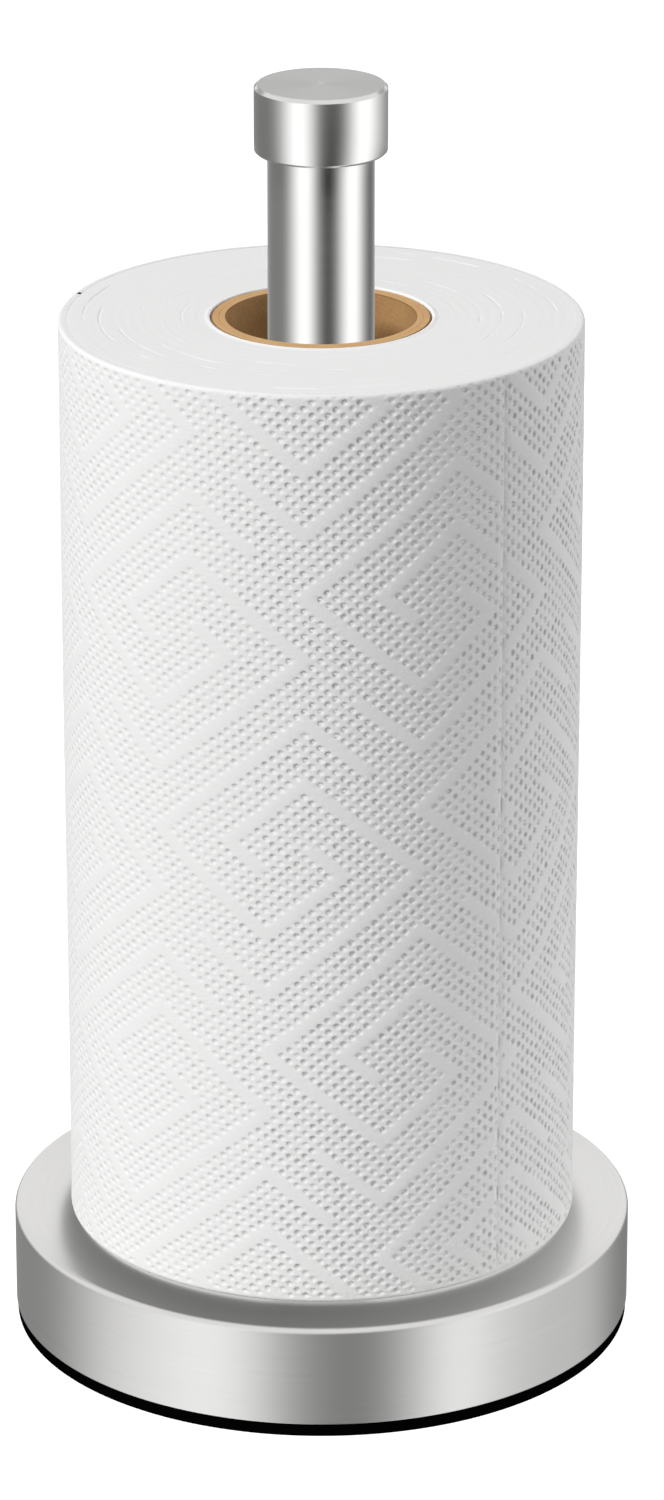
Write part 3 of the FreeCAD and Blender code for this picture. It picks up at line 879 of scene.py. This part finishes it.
# ---- studio ----------------------------------------------------------------------------------


def floor():
    """A pale floor, lit from within so that it stays even."""
    half = 6.0
    corners = [(-half, -half, 0), (half, -half, 0), (half, half, 0), (-half, half, 0)]
    plane = plain_object("studio_floor", corners, [(0, 1, 2, 3)])
    material = bpy.data.materials.new("studio_floor")
    material.use_nodes = True
    surface = material.node_tree.nodes["Principled BSDF"]
    surface.inputs["Base Color"].default_value = (0.30, 0.30, 0.30, 1)
    surface.inputs["Roughness"].default_value = 1.0
    surface.inputs["Specular IOR Level"].default_value = 0.0
    surface.inputs["Emission Color"].default_value = (1, 1, 1, 1)
    surface.inputs["Emission Strength"].default_value = 1.0
    plane.data.materials.append(material)
    plane.visible_glossy = False
    plane.visible_diffuse = False
    plane.location.z = -0.0002


POST_BANDS = (  # bearing from the camera's side in degrees, and how bright the studio is there
    (-180, 0.62),
    (-160, 0.46),
    (-140, 0.28),
    (-95, 0.24),
    (-80, 0.38),
    (-64, 0.92),
    (-50, 1.56),
    (-36, 1.80),
    (-22, 1.42),
    (-9, 0.54),
    (4, 0.12),
    (15, 0.00),
    (27, 0.10),
    (39, 0.54),
    (54, 1.40),
    (70, 1.84),
    (86, 1.50),
    (102, 0.70),
    (118, 0.30),
    (134, 0.12),
    (155, 0.40),
    (180, 0.62),
)
KNOB_BANDS = (  # the same on the small card that only the knob mirrors
    (-180, 0.34),
    (-121, 0.28),
    (-93, 0.24),
    (-74, 0.30),
    (-59, 0.66),
    (-46, 1.32),
    (-34, 1.76),
    (-22, 1.62),
    (-11, 0.94),
    (-1, 0.28),
    (10, 0.11),
    (21, 0.10),
    (32, 0.30),
    (44, 1.02),
    (57, 1.70),
    (72, 1.74),
    (90, 1.12),
    (116, 0.42),
    (140, 0.34),
    (180, 0.34),
)
BASE_BANDS = (  # and on the low card that only the base mirrors
    (-180, 0.26),
    (-130, 0.29),
    (-105, 0.37),
    (-82, 1.02),
    (-60, 1.20),
    (-40, 1.38),
    (-26, 1.12),
    (-10, 0.40),
    (8, 0.19),
    (22, 0.31),
    (36, 0.94),
    (49, 1.40),
    (62, 1.00),
    (86, 0.68),
    (108, 0.84),
    (128, 0.35),
    (150, 0.18),
    (180, 0.26),
)
# glow of the dim card round the roll's foot: a painted reflection of the roll, darkened as painted
# shade
FOOT_SHADE_BANDS = ((-180, 0.50), (-70, 0.40), (-10, 0.30), (40, 0.50), (75, 0.80), (180, 0.70))
DOME = 1.10  # glow of the pale dome that steel mirrors
AMBIENT = 0.36  # even light on everything that isn't mirrored
LIT_HEIGHT = 0.15  # the large lights aim at the middle of the roll
WARM_WHITE = (1.0, 0.997, 0.990, 1.0)


def studio_world():
    """White to the camera, even for soft light; to steel, low upright panels under a pale dome."""
    world = bpy.data.worlds.new("studio")
    bpy.context.scene.world = world
    world.use_nodes = True
    world.node_tree.nodes.clear()
    nodes = Nodes(world.node_tree)
    ray = nodes.node("TexCoord").outputs["Generated"]
    rise = nodes.node("SeparateXYZ", {0: ray}).outputs[2]
    dome_edge = {0: rise, 1: -0.12, 2: 0.04, 3: 0.0, 4: 1.0}
    above = nodes.node("MapRange", dome_edge, interpolation_type="SMOOTHSTEP").outputs[0]
    panels = nodes.node("Background", {"Color": nodes.bands(ray, POST_BANDS)}).outputs[0]
    dome = nodes.node("Background", {"Color": WARM_WHITE, "Strength": DOME}).outputs[0]
    reflected = nodes.node("MixShader", {0: above, 1: panels, 2: dome}).outputs[0]
    even = nodes.node("Background", {"Color": (1, 1, 1, 1), "Strength": AMBIENT}).outputs[0]
    white = nodes.node("Background", {"Color": (1, 1, 1, 1), "Strength": 1.0}).outputs[0]
    path = nodes.node("LightPath").outputs
    lit = nodes.node("MixShader", {0: path["Is Glossy Ray"], 1: even, 2: reflected}).outputs[0]
    seen = nodes.node("MixShader", {0: path["Is Camera Ray"], 1: lit, 2: white}).outputs[0]
    nodes.node("OutputWorld", {"Surface": seen})


def stage_only(piece, **seen_by):
    """Put a piece on the stage, hidden from every kind of ray except those named."""
    kinds = ("camera", "diffuse", "glossy", "transmission", "volume_scatter", "shadow")
    for kind in kinds:
        setattr(piece, "visible_" + kind, seen_by.get(kind, False))


def reflection_card(name, start, end, stops, span=(-180, 180), front_flare=0.0, first=1.0):
    """A round card that only reflections see, and only from its glowing side.

    It runs between two (radius, height) rings. Seen from outside, it glows when it runs upward.
    A front flare widens and lifts its end in front. First is its glow at the start, next to 1.
    """
    count = 128
    bearings = [math.radians(span[0] + (span[1] - span[0]) * k / count) for k in range(count + 1)]
    points = []
    for (radius, height), flare in ((start, 0.0), (end, front_flare)):
        for bearing in bearings:
            wider = flare * max(math.cos(bearing), 0.0) ** 1.5
            reach = radius + wider
            points.append((reach * math.sin(bearing), -reach * math.cos(bearing), height + wider))
    ahead = count + 1
    faces = [(k, k + 1, k + 1 + ahead, k + ahead) for k in range(count)]
    card = plain_object(name, points, faces)
    card.data.shade_smooth()
    way = card.data.attributes.new("way", "FLOAT", "POINT")
    way.data.foreach_set("value", [0.0] * ahead + [1.0] * ahead)
    material = bpy.data.materials.new(name)
    material.use_nodes = True
    material.node_tree.nodes.clear()
    nodes = Nodes(material.node_tree)
    colour = nodes.bands(nodes.node("TexCoord").outputs["Object"], stops)
    across = nodes.node("Attribute", attribute_name="way").outputs["Fac"]
    level = nodes.math("MULTIPLY_ADD", across, 1.0 - first, first)
    glow = nodes.node("Emission", {"Color": colour, "Strength": level}).outputs[0]
    clear = nodes.node("BsdfTransparent").outputs[0]
    back = nodes.node("NewGeometry").outputs["Backfacing"]
    face = nodes.node("MixShader", {0: back, 1: glow, 2: clear}).outputs[0]
    nodes.node("OutputMaterial", {"Surface": face})
    card.data.materials.append(material)
    stage_only(card, glossy=True)
    return card


def bore_shade():
    """Stands for the post's shadow up to the roll's top at rest. It stays with the stand."""
    outline = [(0, BASE_TOP), (POST_BORE, BASE_TOP), (POST_BORE, ROLL_TOP), (0, ROLL_TOP)]
    points, faces = turned(outline, 64)
    shade = plain_object("bore_shade", points, faces)
    stage_only(shade, shadow=True)
    return shade


def soft_light(name, bearing, distance, height, target, size, power, blockers):
    """A square soft light, aimed at a height on the Z axis and unseen in reflections.

    Only the blockers throw a shadow in it.
    """
    data = bpy.data.lights.new(name, "AREA")
    data.shape = "SQUARE"
    data.size = size
    data.energy = power
    lamp = bpy.data.objects.new(name, data)
    bpy.context.collection.objects.link(lamp)
    turn = math.radians(bearing)
    lamp.location = (math.sin(turn) * distance, -math.cos(turn) * distance, height)
    away = lamp.location - Vector((0, 0, target))
    lamp.rotation_mode = "QUATERNION"
    lamp.rotation_quaternion = away.to_track_quat("Z", "Y")
    lamp.visible_glossy = False
    lamp.visible_camera = False
    lamp.light_linking.blocker_collection = blockers


def camera():
    """A long lens, looking a little down on the holder."""
    distance = 1.600
    pitch = math.radians(20.75)
    target = Vector((2.7 * MM, 0, 154.3 * MM))
    data = bpy.data.cameras.new("camera")
    data.sensor_fit = "AUTO"
    data.sensor_width = 36.0
    data.lens = 151.0
    data.clip_start = 0.1
    data.clip_end = 50.0
    view = bpy.data.objects.new("camera", data)
    bpy.context.collection.objects.link(view)
    back = Vector((0, -math.cos(pitch), math.sin(pitch)))
    view.location = target + back * distance
    view.rotation_euler = (math.pi / 2 - pitch, 0, 0)
    bpy.context.scene.camera = view


floor()
studio_world()
reflection_card("base_card", (0.5, -0.05), (0.5, -0.60), BASE_BANDS)
reflection_card("knob_card", (0.040, 0.330), (0.040, 0.3045), KNOB_BANDS)
reflection_card("knob_sky", (0.5, 0.60), (0.5, 0.44), ((-180, 0.49), (180, 0.49)), (125, 235))
# A dim card round the roll's foot, seen only in the base's steel: a painted reflection of the
# roll, darkened as painted shade round its foot.
roll_shade_card = reflection_card(
    "roll_shade_card", (0.064, 0.031), (0.0680, 0.0350), FOOT_SHADE_BANDS, front_flare=0.010, first=0.55
)
roll_shade_card.parent = frame["bodies"]["towel_roll"]

blockers = bpy.data.collections.new("light_blockers")
for piece in roll_pieces + [bore_shade()]:
    blockers.objects.link(piece)
soft_light("key_light", -55, 3.94, 3.23, LIT_HEIGHT, 1.7, 195.0, blockers)
soft_light("fill_light", 112, 4.53, 1.11, LIT_HEIGHT, 2.2, 78.0, blockers)
soft_light("right_foot_light", 40, 0.30, 0.03, -0.03, 0.12, 0.115, blockers)
soft_light("left_foot_light", -42, 0.20, 0.03, -0.03, 0.10, 0.014, blockers)
camera()
bpy.context.scene.view_settings.view_transform = "Standard"

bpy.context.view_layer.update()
